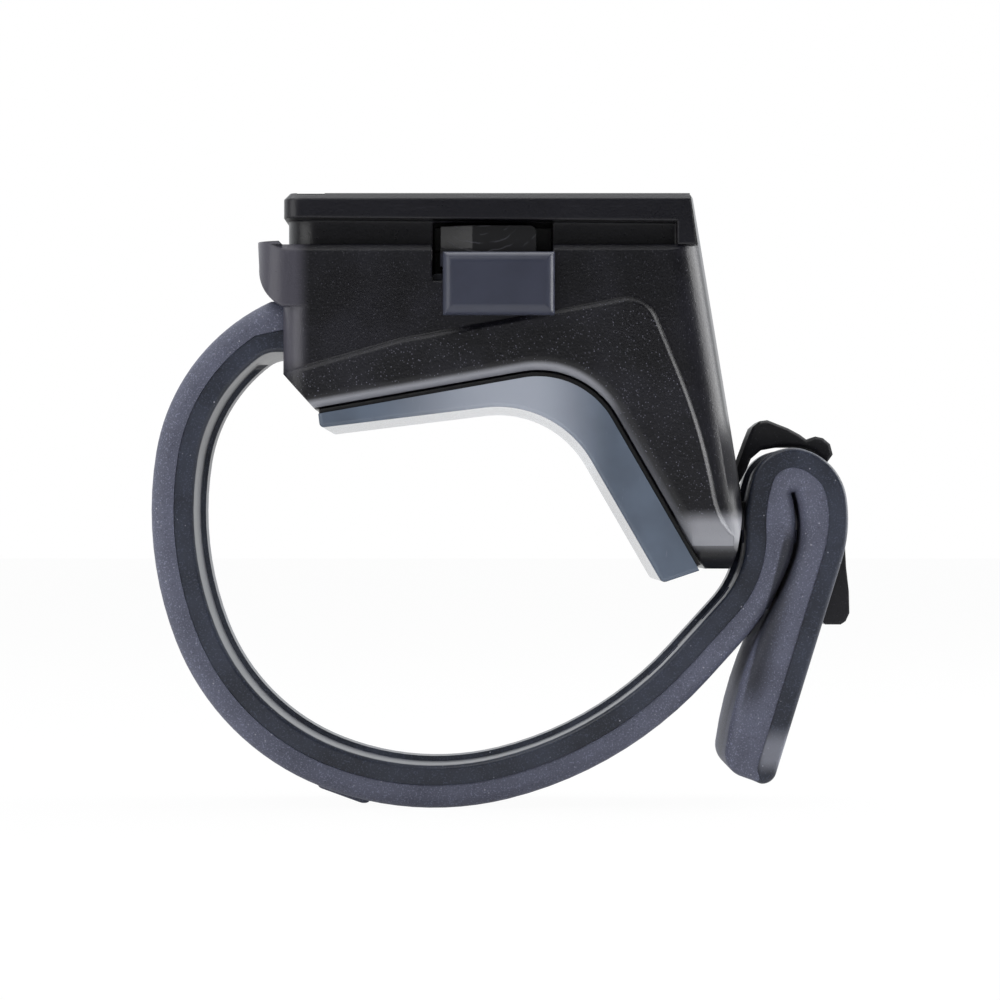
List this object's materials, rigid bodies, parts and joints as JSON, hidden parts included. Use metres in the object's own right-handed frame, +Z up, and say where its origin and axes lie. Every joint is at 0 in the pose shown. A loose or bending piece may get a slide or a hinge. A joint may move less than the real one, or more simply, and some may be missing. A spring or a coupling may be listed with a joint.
{
  "type": "bike light mount",
  "caption": "Handlebar light mount: saddle block with a T-rail deck, side release button, rubber saddle pad and a silicone ladder strap that closes round the bar onto a hook.",
  "frame": {"origin": "on the axis of the handlebar that the saddle and strap close round, at the part's middle plane", "axes": "+X along the rail, toward the hook; +Y along the handlebar, away from the release button; +Z up from the bar to the rail deck"},
  "size_m": [0.0634, 0.0287, 0.0552],
  "materials": {
    "housing": "black glass-filled nylon with a fine spark texture and a soft sheen",
    "deck": "black moulded plastic, satin",
    "button": "black plastic, slightly glossy from touch",
    "spring_steel": "plain spring wire",
    "plate": "thin black carrier plate",
    "pad": "dark blue-grey smooth rubber",
    "strap": "dark grey silicone, rough outer half and smooth inner half",
    "pin_steel": "plain steel pin",
    "screw_steel": "blackened steel self-tapping screw"
  },
  "bodies": {
    "mount": {"housing": "housing", "rail_deck": "deck", "saddle_plate": "plate", "saddle_pad": "pad", "strap": "strap", "strap_pin": "pin_steel", "deck_screw_1": "screw_steel", "deck_screw_2": "screw_steel", "deck_screw_3": "screw_steel", "deck_screw_4": "screw_steel", "plate_screw_1": "screw_steel", "plate_screw_2": "screw_steel", "plate_screw_3": "screw_steel"},
    "button": {"release_button": "button", "button_spring": "spring_steel"}
  },
  "joints": [
    {"name": "button_press", "type": "slide", "parent": "mount", "child": "button", "axis": [0, 1, 0], "range_m": [0, 0.0015], "stiffness_N_per_m": 1500, "springref_m": -0.001}
  ]
}
